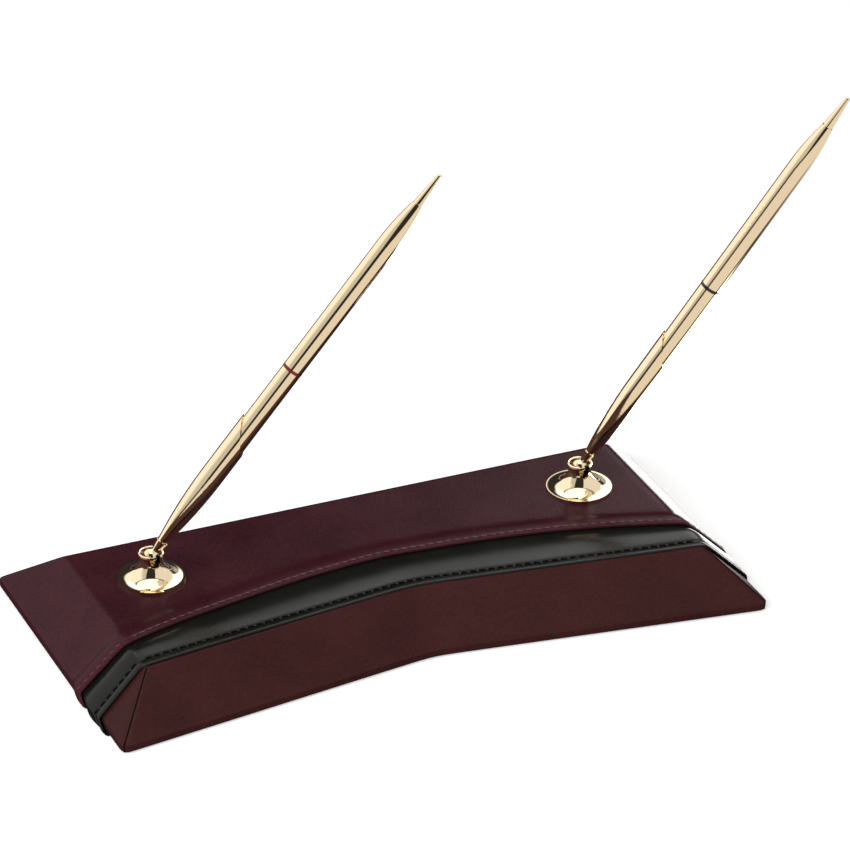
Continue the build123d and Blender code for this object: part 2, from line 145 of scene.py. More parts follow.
def mix(tree, kind, factor, first, second):
    """Mix of two colours ("RGBA") or two numbers ("FLOAT"), each a socket or plain."""
    node = tree.nodes.new("ShaderNodeMix")
    node.data_type = kind
    feed(tree, node.inputs["Factor"], factor)
    feed(tree, node.inputs["A"], first)
    feed(tree, node.inputs["B"], second)
    return node.outputs["Result"]


def object_axes(tree):
    """Sockets of the X, Y and Z of a point in the object's own coordinates."""
    place = tree.nodes.new("ShaderNodeTexCoord")
    split = tree.nodes.new("ShaderNodeSeparateXYZ")
    tree.links.new(place.outputs["Object"], split.inputs[0])
    return split.outputs


print("node helpers ready")

# %% Floor
FLOOR_GREY = 0.86
CAMERA_GLOW = 0.38
TABLE_DARK = (0.085, 0.042, 0.036, 1)
TABLE_LIGHT = (0.86, 0.83, 0.81, 1)
CARD_WHITE = (9.5, 9.5, 9.5, 1)
# The edge of the light part runs straight along the front on the right and slants forward on the left.
EDGE_Y = -0.078
EDGE_TURN_X = 0.054
EDGE_SLANT = 0.55
EDGE_SOFT = 0.008
FAR_RIGHT = (0.24, 0.34)
CARD_NEAR = (0.118, 0.128)
CARD_FAR = (0.24, 0.2)
CARD_BACK = (0.15, 0.12)
CARD_FRONT = (-0.05, 0.0)

floor_bm = bmesh.new()
bmesh.ops.create_grid(floor_bm, x_segments=1, y_segments=1, size=12.0)
floor_mesh = bpy.data.meshes.new("floor")
floor_bm.to_mesh(floor_mesh)
floor_bm.free()
floor = bpy.data.objects.new("floor", floor_mesh)
scene.collection.objects.link(floor)
floor_material, tree, shader = new_material("white table")
shader.inputs["Base Color"].default_value = (FLOOR_GREY, FLOOR_GREY, FLOOR_GREY, 1)
shader.inputs["Roughness"].default_value = 0.9
shader.inputs["Specular IOR Level"].default_value = 0.0
rays = tree.nodes.new("ShaderNodeLightPath").outputs
shader.inputs["Emission Color"].default_value = (1, 1, 1, 1)
camera_glow = link_maths(tree, "MULTIPLY", rays["Is Camera Ray"], CAMERA_GLOW)
feed(tree, shader.inputs["Emission Strength"], camera_glow)
floor_x, floor_y, _ = object_axes(tree)
beside = link_maths(tree, "MINIMUM", link_maths(tree, "SUBTRACT", floor_x, EDGE_TURN_X), 0.0)
edge = link_maths(tree, "MULTIPLY_ADD", beside, EDGE_SLANT, EDGE_Y)
in_front = soft_step(tree, link_maths(tree, "SUBTRACT", floor_y, edge), EDGE_SOFT, -EDGE_SOFT)
in_front = link_maths(tree, "MAXIMUM", in_front, soft_step(tree, floor_x, *FAR_RIGHT))
card = soft_step(tree, floor_x, *CARD_NEAR)
for socket, limits in ((floor_x, CARD_FAR), (floor_y, CARD_BACK), (floor_y, CARD_FRONT)):
    card = link_maths(tree, "MULTIPLY", card, soft_step(tree, socket, *limits))
table_tone = mix(tree, "RGBA", in_front, TABLE_DARK, TABLE_LIGHT)
mirror_table = tree.nodes.new("ShaderNodeEmission")
feed(tree, mirror_table.inputs["Color"], mix(tree, "RGBA", card, table_tone, CARD_WHITE))
choose = tree.nodes.new("ShaderNodeMixShader")
feed(tree, choose.inputs["Fac"], rays["Is Glossy Ray"])
feed(tree, choose.inputs[1], shader.outputs["BSDF"])
feed(tree, choose.inputs[2], mirror_table.outputs["Emission"])
feed(tree, tree.nodes["Material Output"].inputs["Surface"], choose.outputs["Shader"])
floor_mesh.materials.append(floor_material)
print("floor", floor.name)

# %% [markdown]
# ## World and lamps
# What the polished gold mirrors makes most of its look, so mirror rays see a studio of their own: a large
# softbox low on the left, one overhead, one to the right of the camera, a bright spot and a faint streak
# behind on the right, and dark gaps between them. Places in it are degrees turned to the right of the
# camera and degrees of height. A picture of a studio could do it, but single boxes can each be moved until
# the gold shows what the photograph shows. The camera sees plain white. Two lamps that mirrors don't see
# light everything that isn't a mirror.

# %% World
BASE_LEVEL = 0.03
OVERHEAD_LEVEL = 1.7
DIFFUSE_LEVEL = 0.45
OVERHEAD_DIM = ((62, 150), (50, 76), -0.6)
RIGHT_BOX = ((34, 150), (0, 55), 0.85)
BACK_SPOT = ((148, 175), (24, 43), 6.0, 5)
BACK_STREAK = ((161, 173), (4, 20), 0.45)
# The overhead box begins at one height all round and comes lower behind.
OVERHEAD_FOOT = (56, 61)
OVERHEAD_FOOT_BEHIND = (37, 45)
BEHIND_FROM = (135, 155)
# The left box is brighter and lower towards its far end, and its ends lean with the height.
LEFT_ENDS = (-148, -26, 4)
LEFT_LEAN = 0.3
LEFT_FOOT = (3, 9)
LEFT_TOP = (57, 53)
LEFT_LOWER = ((-60, -80), 8.0)
LEFT_BRIGHTER = ((-55, -85), 0.5)
LEFT_LEVEL = 0.62

world = bpy.data.worlds.new("studio")
scene.world = world
world.use_nodes = True
tree = world.node_tree
background = tree.nodes["Background"]
direction = tree.nodes.new("ShaderNodeTexCoord").outputs["Generated"]


def along_axis(axis):
    """How far the looked-at direction goes along an axis."""
    facing = tree.nodes.new("ShaderNodeVectorMath")
    facing.operation = "DOT_PRODUCT"
    facing.inputs[1].default_value = Vector(axis).normalized()
    tree.links.new(direction, facing.inputs[0])
    return facing.outputs["Value"]


def between(value, low, high, soft):
    """One between two levels, with soft ends."""
    rising = soft_step(tree, value, low - soft, low + soft)
    return link_maths(tree, "MULTIPLY", rising, soft_step(tree, value, high + soft, high - soft))


def mirror_box(turns, heights, strength, soft=3):
    """Soft light between two turns and two heights."""
    inside = link_maths(tree, "MULTIPLY", between(turn, *turns, soft), between(height, *heights, soft))
    return link_maths(tree, "MULTIPLY", inside, strength)


to_the_right = along_axis((view_right.x, view_right.y, 0))
to_the_camera = along_axis((-view_ahead.x, -view_ahead.y, 0))
turn = link_maths(tree, "DEGREES", link_maths(tree, "ARCTAN2", to_the_right, to_the_camera))
height = link_maths(tree, "DEGREES", link_maths(tree, "ARCSINE", along_axis((0, 0, 1))))

behind = soft_step(tree, link_maths(tree, "ABSOLUTE", turn), *BEHIND_FROM)
overhead = link_maths(tree, "MULTIPLY", soft_step(tree, height, *OVERHEAD_FOOT_BEHIND), behind)
overhead = link_maths(tree, "MAXIMUM", overhead, soft_step(tree, height, *OVERHEAD_FOOT))
dimmed = link_maths(tree, "ADD", mirror_box(*OVERHEAD_DIM), 1.0)
overhead = link_maths(tree, "MULTIPLY", overhead, dimmed)

lower, brighter = (soft_step(tree, turn, *limits) for limits in (LEFT_LOWER[0], LEFT_BRIGHTER[0]))
left_foot = link_maths(tree, "MULTIPLY_ADD", lower, LEFT_LOWER[1], height)
left_level = link_maths(tree, "MULTIPLY_ADD", brighter, LEFT_BRIGHTER[1], LEFT_LEVEL)
turned = link_maths(tree, "MULTIPLY_ADD", height, LEFT_LEAN, turn)
left = link_maths(tree, "MULTIPLY", between(turned, *LEFT_ENDS), soft_step(tree, left_foot, *LEFT_FOOT))
left = link_maths(tree, "MULTIPLY", left, soft_step(tree, height, *LEFT_TOP))

studio = link_maths(tree, "MULTIPLY_ADD", overhead, OVERHEAD_LEVEL, BASE_LEVEL)
studio = link_maths(tree, "ADD", studio, link_maths(tree, "MULTIPLY", left, left_level))
for box in (RIGHT_BOX, BACK_SPOT, BACK_STREAK):
    studio = link_maths(tree, "ADD", studio, mirror_box(*box))
rays = tree.nodes.new("ShaderNodeLightPath").outputs
off_camera = mix(tree, "FLOAT", rays["Is Glossy Ray"], DIFFUSE_LEVEL, studio)
feed(tree, background.inputs["Strength"], mix(tree, "FLOAT", rays["Is Camera Ray"], off_camera, 1.0))
background.inputs["Color"].default_value = (1, 1, 1, 1)
scene.view_settings.view_transform = "Standard"
print("world made")


# %% Lamps
LAMP_AIM = (0, 0, 0.05)


def softbox(name, place, size, power):
    """Rectangular lamp that faces the stand and leaves the mirror reflections to the world."""
    lamp_data = bpy.data.lights.new(name, "AREA")
    lamp_data.shape = "RECTANGLE"
    lamp_data.size, lamp_data.size_y = size
    lamp_data.energy = power
    lamp = bpy.data.objects.new(name, lamp_data)
    scene.collection.objects.link(lamp)
    lamp.location = place
    lamp.rotation_euler = (Vector(LAMP_AIM) - Vector(place)).to_track_quat("-Z", "Y").to_euler()
    lamp.visible_glossy = False


softbox("key from the left", place=(-1.25, -0.75, 1.0), size=(1.5, 1.2), power=28)
softbox("fill from the front", place=(0.5, -1.6, 1.2), size=(1.2, 1.0), power=7.5)

# %% [markdown]
# ## Leather finish
# The leather is a fine calf grain, under half a millimetre a pebble, with slow changes of tone. A picture
# of a hide would stretch or repeat, so the grain is built up from textures in the object's own
# coordinates. Cells give the pebbles, a fine noise breaks them up, and a slow noise moves the tone and the
# gloss. The hide itself is dull. A thin polish over it, the shader's coat, gives the narrow sheen.


# %% Texture helpers
def noise(tree, vector, scale, detail):
    """Noise texture node read at a vector."""
    node = tree.nodes.new("ShaderNodeTexNoise")
    node.inputs["Scale"].default_value = scale
    node.inputs["Detail"].default_value = detail
    tree.links.new(vector, node.inputs["Vector"])
    return node


def two_tones(tree, value, low, high, dark, light):
    """Colour ramp from a dark tone at one level to a light one at another."""
    ramp = tree.nodes.new("ShaderNodeValToRGB")
    for element, level, tone in zip(ramp.color_ramp.elements, (low, high), (dark, light)):
        element.position = level
        element.color = (*tone, 1)
    tree.links.new(value, ramp.inputs["Fac"])
    return ramp.outputs["Color"]


def bump(tree, value, strength, depth, invert=False):
    """Normal from a height of some millimetres."""
    node = tree.nodes.new("ShaderNodeBump")
    node.invert = invert
    node.inputs["Strength"].default_value = strength
    node.inputs["Distance"].default_value = depth * MM
    tree.links.new(value, node.inputs["Height"])
    return node.outputs["Normal"]


def remap(tree, value, low, high, start, end):
    """Value carried from one range to another."""
    node = tree.nodes.new("ShaderNodeMapRange")
    for key, level in (("From Min", low), ("From Max", high), ("To Min", start), ("To Max", end)):
        node.inputs[key].default_value = level
    tree.links.new(value, node.inputs["Value"])
    return node.outputs["Result"]


print("texture helpers ready")


# %% Leather
def leather(name, dark, light, gloss, polish, pebble=0.42, depth=0.05):
    """Fine-grained leather between two tones under a thin polish, with the grain in millimetres."""
    material, tree, shader = new_material(name)
    place = tree.nodes.new("ShaderNodeTexCoord").outputs["Object"]
    cells = tree.nodes.new("ShaderNodeTexVoronoi")
    cells.feature = "SMOOTH_F1"
    cells.inputs["Scale"].default_value = 1 / (pebble * MM)
    cells.inputs["Smoothness"].default_value = 0.6
    cells.inputs["Randomness"].default_value = 1.0
    tree.links.new(place, cells.inputs["Vector"])
    pebbles = cells.outputs["Distance"]
    wander = noise(tree, place, scale=900, detail=4).outputs["Fac"]
    slow = noise(tree, place, scale=45, detail=5)
    slow.inputs["Roughness"].default_value = 0.6
    slow = slow.outputs["Fac"]
    relief = bump(tree, link_maths(tree, "MULTIPLY_ADD", wander, 0.5, pebbles), 0.8, depth, invert=True)
    tree.links.new(relief, shader.inputs["Normal"])
    tree.links.new(relief, shader.inputs["Coat Normal"])
    cloud = link_maths(tree, "MULTIPLY", link_maths(tree, "ADD", slow, wander), 0.5)
    tone = link_maths(tree, "MULTIPLY_ADD", pebbles, 0.3, cloud)
    tree.links.new(two_tones(tree, tone, 0.35, 0.85, dark, light), shader.inputs["Base Color"])
    coat_gloss = remap(tree, slow, 0.3, 0.7, gloss - 0.05, gloss + 0.06)
    tree.links.new(coat_gloss, shader.inputs["Coat Roughness"])
    shader.inputs["Coat Weight"].default_value = polish
    shader.inputs["Roughness"].default_value = 0.6
    shader.inputs["Specular IOR Level"].default_value = 0.0
    return material


burgundy = leather(
    "burgundy leather", (0.0225, 0.0050, 0.0073), (0.052, 0.0115, 0.0165), gloss=0.17, polish=0.2
)
panel_leather = leather(
    "burgundy leather of the front", (0.022, 0.0062, 0.0062), (0.046, 0.0125, 0.012), gloss=0.3, polish=0.16
)
black_leather = leather(
    "black leather", (0.004, 0.0042, 0.0034), (0.009, 0.0095, 0.0075), gloss=0.22, polish=0.4, pebble=0.5,
    depth=0.03,
)
print("leathers ready")


# %% [markdown]
# ## Metal, thread, board and felt
# The sockets and pens are polished gold plate: a clean mirror with faint lapping marks. Inside the mouths
# of the sockets, round the balls, shade is painted into the plate: its colour goes dark brown there, while
# its gloss stays the same. A material of its own on a second piece could paint that shade too, but a colour
# that hangs on the distance from the socket's axis leaves the CAD mesh whole.
# The hidden parts are plain turned brass and steel, fibreboard and felt.


# %% Metals and plain finishes
def metal(name, colour, gloss, scratch=0.02, scale=(900, 900, 60)):
    """Metal whose gloss wanders a little along fine marks."""
    material, tree, shader = new_material(name)
    shader.inputs["Metallic"].default_value = 1.0
    shader.inputs["Base Color"].default_value = (*colour, 1)
    stretch = tree.nodes.new("ShaderNodeMapping")
    stretch.inputs["Scale"].default_value = scale
    tree.links.new(tree.nodes.new("ShaderNodeTexCoord").outputs["Object"], stretch.inputs["Vector"])
    marks = noise(tree, stretch.outputs["Vector"], scale=1.0, detail=3).outputs["Fac"]
    rough = remap(tree, marks, 0, 1, max(gloss - scratch, 0.01), gloss + scratch)
    tree.links.new(rough, shader.inputs["Roughness"])
    return material


def grainy(name, dark, light, scale, gloss, depth, level=0.5):
    """Plain finish with a fine noise in tone and relief."""
    material, tree, shader = new_material(name)
    grain = noise(tree, tree.nodes.new("ShaderNodeTexCoord").outputs["Object"], scale, 6).outputs["Fac"]
    tree.links.new(two_tones(tree, grain, 0.3, 0.7, dark, light), shader.inputs["Base Color"])
    tree.links.new(bump(tree, grain, 0.6, depth), shader.inputs["Normal"])
    shader.inputs["Roughness"].default_value = gloss
    shader.inputs["Specular IOR Level"].default_value = level
    return material


def paint_mouth_shade(material, colour, dark):
    """Paints shade into the plate near the upright axes of both sockets, inside the mouths."""
    tree = material.node_tree
    x, y, _ = object_axes(tree)
    sideways = link_maths(tree, "SUBTRACT", link_maths(tree, "ABSOLUTE", x), SOCKET_X)
    sideways = link_maths(tree, "MULTIPLY", sideways, sideways)
    backward = link_maths(tree, "SUBTRACT", y, SOCKET_Y)
    radius = link_maths(tree, "SQRT", link_maths(tree, "MULTIPLY_ADD", backward, backward, sideways))
    # Painted shade: inside the mouth the plate's colour goes to dark brown, though the gold is the same
    # there.
    inside = soft_step(tree, radius, MOUTH_EDGE, MOUTH_DARK)
    plate = mix(tree, "RGBA", inside, (*colour, 1), (*dark, 1))
    tree.links.new(plate, tree.nodes["Principled BSDF"].inputs["Base Color"])


GOLD = (0.92, 0.75, 0.50)
# The painted shade inside the socket mouths: its colour, the radius where it is full and the radius where
# it ends.
MOUTH_SHADE = (0.035, 0.022, 0.012)
MOUTH_DARK = 3.65 * MM
MOUTH_EDGE = 3.85 * MM
gold = metal("gold plate", GOLD, gloss=0.06)
# Gold of the sockets, with shade painted inside their mouths.
bell_gold_with_painted_shade = metal("gold plate, painted shade inside the mouth", GOLD, gloss=0.06)
paint_mouth_shade(bell_gold_with_painted_shade, GOLD, MOUTH_SHADE)
brass = metal("turned brass", (0.78, 0.58, 0.28), gloss=0.22, scratch=0.06)
steel = metal("plain steel", (0.60, 0.60, 0.62), gloss=0.25, scratch=0.06)
red_lacquer = grainy("dark red lacquer", (0.10, 0.004, 0.003), (0.13, 0.007, 0.005), 600, 0.15, 0.005)
black_lacquer = grainy("black lacquer", (0.006, 0.005, 0.005), (0.012, 0.010, 0.009), 600, 0.15, 0.005)
fibreboard = grainy("fibreboard", (0.30, 0.20, 0.12), (0.48, 0.34, 0.22), 700, 0.8, 0.1)
felt = grainy("black felt", (0.010, 0.009, 0.009), (0.030, 0.027, 0.027), 2200, 0.95, 0.3)
wine_thread = grainy("wine thread", (0.075, 0.013, 0.024), (0.13, 0.030, 0.045), 4000, 0.55, 0.04)
# Black thread of the strip's stitches; the same black paints the shade cord in the corner grooves.
black_thread_and_shade_cord = grainy(
    "black thread, also painted groove shade", (0.0015, 0.0015, 0.0015), (0.004, 0.004, 0.0035), 4000, 0.8, 0.04, level=0.05
)
print("materials:", len(bpy.data.materials))

# %% Finishes of the CAD nodes
FINISH = {
    "felt_pad": felt, "bottom_board": fibreboard, "core_block": fibreboard,
    "socket_screws": steel, "socket_washers": steel,
    "left_colour_band": red_lacquer, "right_colour_band": black_lacquer,
}
PART_FINISH = {
    "bell_socket": bell_gold_with_painted_shade, "socket_insert": brass, "socket_spring": brass, "ball_cup": brass,
    "pen_holder": gold, "nose_sleeve": gold, "lower_barrel": gold, "upper_barrel": gold,
    "finial": gold, "twist_unit": brass, "refill": brass,
}
for name, node in nodes.items():
    ending = name.split("_", 1)[1]
    finish = FINISH.get(name) or PART_FINISH.get(ending) or burgundy
    node.data.materials.clear()
    node.data.materials.append(finish)
    node.data.shade_smooth()
    node.data.set_sharp_from_angle(angle=radians(32))
print("CAD nodes with a finish:", len(nodes))

# %% [markdown]
# ## Leather over a block
# On the real stand the leather is glued over the block and turned in under it. A cloth simulation could
# drape it, but a glued skin has its folds at known places. So a piece of leather starts as a flat grid.
# Its columns run across the block, from the turned-in edge under one end, up the foot and the slope, over
# the top and down the other end. Its rows run from the folded front edge to the back. Each vertex is then
# carried to its place on the block. Close rows and columns beside a crease keep it tight when the
# subdivision surface rounds it.


# %% Stations across the block
UP = Vector((0, 0, 1))
SLOPE_TURN = atan2(END_INSET, TOP - FOOT_TOP)
SLOPE_NORMAL = Vector((cos(SLOPE_TURN), 0, sin(SLOPE_TURN)))
FOOT_EDGE_NORMAL = Vector((1, 0, 0.25)).normalized()
UNDER_LEVEL = 0.3 * MM
UNDER_REACH = (1.2 * MM, 4.5 * MM)
TOP_SHARES = [k / 14 for k in range(13)] + [0.925, 0.965]
SLOPE_SHARES = [0.12, 0.26, 0.42, 0.6, 0.8, 0.93]
FOOT_LEVELS = [3.8 * MM, 3.1 * MM, 1.8 * MM, 0.75 * MM]


def right_stations():
    """Places from the middle of the top down the right end: x, height, share, fall, inset and normal."""
    stations = [(CREASE_X * s, TOP, 0.0, 0.0, 0.0, UP) for s in TOP_SHARES]
    stations.append((CREASE_X, TOP, 0.0, 0.0, 0.0, (SLOPE_NORMAL + UP).normalized()))
    for share in SLOPE_SHARES:
        height = TOP - (TOP - FOOT_TOP) * share
        stations.append((CREASE_X + END_INSET * share, height, share, 0.0, 0.0, SLOPE_NORMAL))
    for height in FOOT_LEVELS:
        fall = (FOOT_TOP - height) / (FOOT_TOP - UNDER_LEVEL)
        normal = FOOT_EDGE_NORMAL if fall == 0 else Vector((1, 0, 0))
        stations.append((HALF_LENGTH, height, 1.0, fall, 0.0, normal))
    for reach in UNDER_REACH:
        stations.append((HALF_LENGTH - reach, UNDER_LEVEL, 1.0, 1.0, reach, -UP))
    return stations


RIGHT = right_stations()
LEFT = [
    (-x, z, share, fall, inset, Vector((-normal.x, 0, normal.z)))
    for x, z, share, fall, inset, normal in reversed(RIGHT[1:])
]
ACROSS = LEFT + RIGHT
print("stations across:", len(ACROSS))


# %% Grid and finished piece
def lay_grid(bm, columns, rows, place):
    """Adds a flat grid and carries each of its vertices, by column and row number, to its place."""
    made = bmesh.ops.create_grid(bm, x_segments=columns - 1, y_segments=rows - 1, size=0.5)
    for vertex in made["verts"]:
        column = round((vertex.co.x + 0.5) * (columns - 1))
        row = round((vertex.co.y + 0.5) * (rows - 1))
        vertex.co = place(column, row)


def finish_piece(name, bm, material, replaces=(), levels=2, wall=0.4):
    """Makes a bmesh a piece that faces outwards, rounded by a subdivision surface and with a wall."""
    bmesh.ops.recalc_face_normals(bm, faces=bm.faces)
    block_middle = Vector((0, 0, FOOT_TOP))
    outward = sum(
        face.normal.dot(face.calc_center_median() - block_middle) * face.calc_area() for face in bm.faces
    )
    if outward < 0:
        bmesh.ops.reverse_faces(bm, faces=bm.faces)
    mesh = bpy.data.meshes.new(name)
    bm.to_mesh(mesh)
    bm.free()
    piece = bpy.data.objects.new(name, mesh)
    scene.collection.objects.link(piece)
    mesh.materials.append(material)
    mesh.shade_smooth()
    if levels:
        smooth = piece.modifiers.new("smooth", "SUBSURF")
        smooth.levels = smooth.render_levels = levels
    if wall:
        thick = piece.modifiers.new("wall", "SOLIDIFY")
        thick.thickness = wall * MM
        thick.offset = -1
    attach(piece, "base")
    if replaces:
        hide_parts(*replaces)
    return piece


print("grid and piece helpers ready")

# %% [markdown]
# ## Edges of the cover and the strip
# The cover's front edge is a shallow arc on the top, straight down the ends, with the small swells that a
# sewn edge has. The strip's front edge follows the V of the front crease, and on the left it lies a little
# further back. Over the foot of the left end both swing forward. A drawn curve could hold these lines. As
# functions of the place across the block they also place the stitches and the panels.


# %% Edge lines
# Each swell has its size, its middle and its half width, in millimetres.
COVER_SWELLS = ((0.9, -3, 14), (-1.35, -62, 26))
COVER_END_BACK = 0.6 * MM
COVER_FOOT_SWING = 5.5 * MM
STRIP_BEHIND_CREASE = 0.6 * MM
STRIP_SET_BACK = 1.2 * MM
STRIP_SET_BACK_REACH = 80 * MM
STRIP_FOLD_ROUND = 4 * MM
STRIP_END_FORWARD = 0.5 * MM
STRIP_FOOT_SWING = 6.0 * MM
STRIP_RIGHT_SWING = 0.6 * MM
END_LIFT = 0.45 * MM
END_LIFT_FROM = 0.15


def soft_distance(value, softness):
    """Distance from zero with a rounded turn at zero."""
    return sqrt(value * value + softness * softness)


def cover_edge_y(x, share, fall):
    """Front edge of the cover, by place across the block."""
    rise = COVER_EDGE_MIDDLE - COVER_EDGE_CORNER
    radius = (CREASE_X**2 + rise**2) / (2 * rise)
    if abs(x) < CREASE_X:
        swell = sum(size * exp(-(((x / MM - middle) / width) ** 2)) for size, middle, width in COVER_SWELLS)
        return COVER_EDGE_MIDDLE - radius + sqrt(radius**2 - x * x) + swell * MM
    forward = COVER_FOOT_SWING if x < 0 else 0.0
    return COVER_EDGE_CORNER + COVER_END_BACK * share - forward * fall


def strip_edge_y(x, share, fall):
    """Front edge of the strip, by place across the block."""
    crease_y = FRONT_Y + FRONT_RISE + FOLD * HALF_LENGTH + STRIP_BEHIND_CREASE
    set_back = STRIP_SET_BACK * min(max(-x / STRIP_SET_BACK_REACH, 0), 1)
    if abs(x) < CREASE_X + 0.1 * MM:
        return crease_y - FOLD * soft_distance(x, STRIP_FOLD_ROUND) + set_back
    forward = STRIP_FOOT_SWING if x < 0 else STRIP_RIGHT_SWING
    end_y = crease_y - FOLD * CREASE_X - STRIP_END_FORWARD * share
    return end_y - forward * fall + set_back * (1 - share)


def end_lift(share):
    """How far the strip and the cover's hem stand off on the ends."""
    return END_LIFT * min(share / END_LIFT_FROM, 1)


print("edges at the middle:", round(cover_edge_y(0, 0, 0), 4), round(strip_edge_y(0, 0, 0), 4))

# %% [markdown]
# ## Cover
# The burgundy cover is one hide over the top, both ends and the back. Its front edge is folded under and
# sewn down, so it stands up as a small roll with a trough behind it, where the thread pulls. The rows of
# the hem give that section, as distance behind the edge and height over the top, in millimetres. An
# inset and a bevel could make a roll too, but a listed section follows the photograph.


# %% Cover
COVER_HEM = [
    (7.0, -0.72), (0.9, -0.72), (0.2, -0.6), (-0.05, -0.1), (0.15, 0.4), (0.6, 0.62), (1.3, 0.66),
    (1.8, 0.46), (2.3, 0.66), (3.2, 0.68), (5.6, 0.62), (7.4, 0.38), (9.4, 0.06), (11.5, 0.0),
]
COVER_ROWS = [0.1, 0.25, 0.4, 0.55, 0.7, 0.83, 0.92, 0.97, 1.0]
HEM_REACH = 9.4
HEM_FADE = 3.8


def cover_place(column, row):
    """Place of a vertex of the cover's top and ends."""
    x, z, share, fall, inset, normal = ACROSS[column]
    edge = cover_edge_y(x, share, fall)
    back = BACK_Y - BACK_INSET * (1 - share) - inset
    if row < len(COVER_HEM):
        behind, proud = COVER_HEM[row]
        y = edge + behind * MM
        hem_part = min(max((HEM_REACH - behind) / HEM_FADE, 0), 1)
        lift = min(proud, 0) * MM / 3 if inset else proud * MM + end_lift(share) * hem_part
    else:
        start = edge + COVER_HEM[-1][0] * MM
        y = start + (back - start) * COVER_ROWS[row - len(COVER_HEM)]
        lift = 0.0
    return Vector((x, y, z)) + normal * lift


top_columns = [k for k, station in enumerate(ACROSS) if abs(station[0]) <= CREASE_X + 1e-6]
down = [station for station in RIGHT if station[0] >= CREASE_X - 1e-6]


def back_place(column, row):
    """Place of a vertex of the cover's back slope, foot and turned-in edge."""
    x = ACROSS[top_columns[column]][0]
    end, z, share, _, inset, _ = down[row]
    return Vector((x / CREASE_X * end, BACK_Y - BACK_INSET * (1 - share) - inset, z))


bm = bmesh.new()
lay_grid(bm, len(ACROSS), len(COVER_HEM) + len(COVER_ROWS), cover_place)
lay_grid(bm, len(top_columns), len(down), back_place)
bmesh.ops.remove_doubles(bm, verts=bm.verts, dist=0.02 * MM)
print("cover cage:", len(bm.faces), "faces")
piece = finish_piece("leather_cover", bm, burgundy, replaces=["top_cover"])

# %% [markdown]
# ## Strip
# The black strip lies under the cover's edge and runs down both ends. Its own front edge is folded and
# sewn down in the same way. Between the two edges it bulges a little, as leather over a soft filler does,
# which gives the long highlight in the photograph. A flat copy of the solid strip would miss both.


# %% Strip
STRIP_HEM = [
    (6.0, -0.5), (1.3, 0.22), (0.3, 0.26), (0.0, 0.52), (0.1, 0.86), (0.5, 1.08), (1.3, 1.12),
    (2.4, 1.02), (3.3, 0.88), (3.75, 0.62), (4.2, 0.54), (4.65, 0.66), (5.2, 0.94), (6.2, 1.12),
]
# Each row past the hem has its share of the way to the cover's edge and its height in millimetres.
STRIP_ROWS = [
    (0.17, 1.4), (0.34, 1.56), (0.5, 1.46), (0.66, 1.1), (0.82, 0.5), (0.94, 0.05), (1.0, -0.06),
    (1.35, -0.1),
]
STRIP_LIFT_SHARE = 0.3


def strip_place(column, row):
    """Place of a vertex of the black strip."""
    x, z, share, fall, inset, normal = ACROSS[column]
    edge = strip_edge_y(x, share, fall)
    cover = cover_edge_y(x, share, fall)
    if row < len(STRIP_HEM):
        behind, proud = STRIP_HEM[row]
        y = edge + behind * MM
    else:
        part, proud = STRIP_ROWS[row - len(STRIP_HEM)]
        start = edge + STRIP_HEM[-1][0] * MM
        y = start + (cover - start) * part
    lift = min(proud, 0) * MM / 3 if inset else proud * MM - LAYER + STRIP_LIFT_SHARE * end_lift(share)
    return Vector((x, y, z)) + normal * lift


bm = bmesh.new()
lay_grid(bm, len(ACROSS), len(STRIP_HEM) + len(STRIP_ROWS), strip_place)
print("strip cage:", len(bm.faces), "faces")
piece = finish_piece("leather_strip", bm, black_leather, replaces=["trim_strip"])

# %% [markdown]
# ## Front panel
# The front panel and the two small corner panels meet along the front corners, which grow rounder towards
# the foot. One piece bent round the corner could stand for both, but it would have no joint. Here each
# panel's edge is rolled in, so the joint is a fine groove. Its dark is partly the groove's own shade and
# partly a black cord at its bottom, which is painted shade.


# %% Corner between the panels
END_ALONG = Vector((0, 1, 0))
END_OUT = Vector((1, 0, 0))
FRONT_ALONG = Vector((-1, FOLD, 0)).normalized()
FRONT_OUT = Vector((-FOLD, -1, 0)).normalized()
CORNER_ANGLE = FRONT_ALONG.angle(END_ALONG)
# Radius of the corner at the top and what it gains down to the foot, in millimetres.
CORNER_ROUND = 1.0
CORNER_GROWTH = 2.0
SKIN = LAYER * sqrt(1 + (END_INSET / (TOP - FOOT_TOP)) ** 2)
ROLL_UPWARD = 0.7


def slope_share(height):
    """How far down a sloping end a height lies, from its crease to the top of the foot."""
    return min(max((TOP - height) / (TOP - FOOT_TOP), 0), 1)


def panel_corner(height):
    """Sharp right-hand corner of the front at a height."""
    end = HALF_LENGTH - END_INSET * (1 - slope_share(height)) - SKIN
    rise = FRONT_RISE * max((height - FOOT_TOP) / (STRIP_LEVEL - FOOT_TOP), 0)
    return Vector((end, FRONT_Y + rise + FOLD * (HALF_LENGTH - end), height))


def corner_point(height, distance, along, out):
    """Point and outward direction at a distance from the rounded corner along one of its faces."""
    radius = (CORNER_ROUND + CORNER_GROWTH * slope_share(height)) * MM
    half = CORNER_ANGLE / 2
    centre = panel_corner(height) + (FRONT_ALONG + END_ALONG).normalized() * radius / sin(half)
    reach = radius / tan(half)
    if distance >= reach:
        return panel_corner(height) + along * distance, out
    turn = (1 - distance / reach) * (pi / 2 - half)
    facing = out * cos(turn) - along * sin(turn)
    return centre + facing * radius, facing


def panel_point(level, distance, depth, along, out):
    """Place on a panel at a level, at a distance from its corner and sunk by a depth."""
    height, inset = level
    point, facing = corner_point(height * MM, distance, along, out)
    upward = ROLL_UPWARD if height > FOOT_TOP / MM else 0.0
    return point - facing * inset * MM + (facing + Vector((0, 0, upward))).normalized() * depth


print("sharp corner of the front at the foot:", [round(v, 4) for v in panel_corner(FOOT_TOP)])


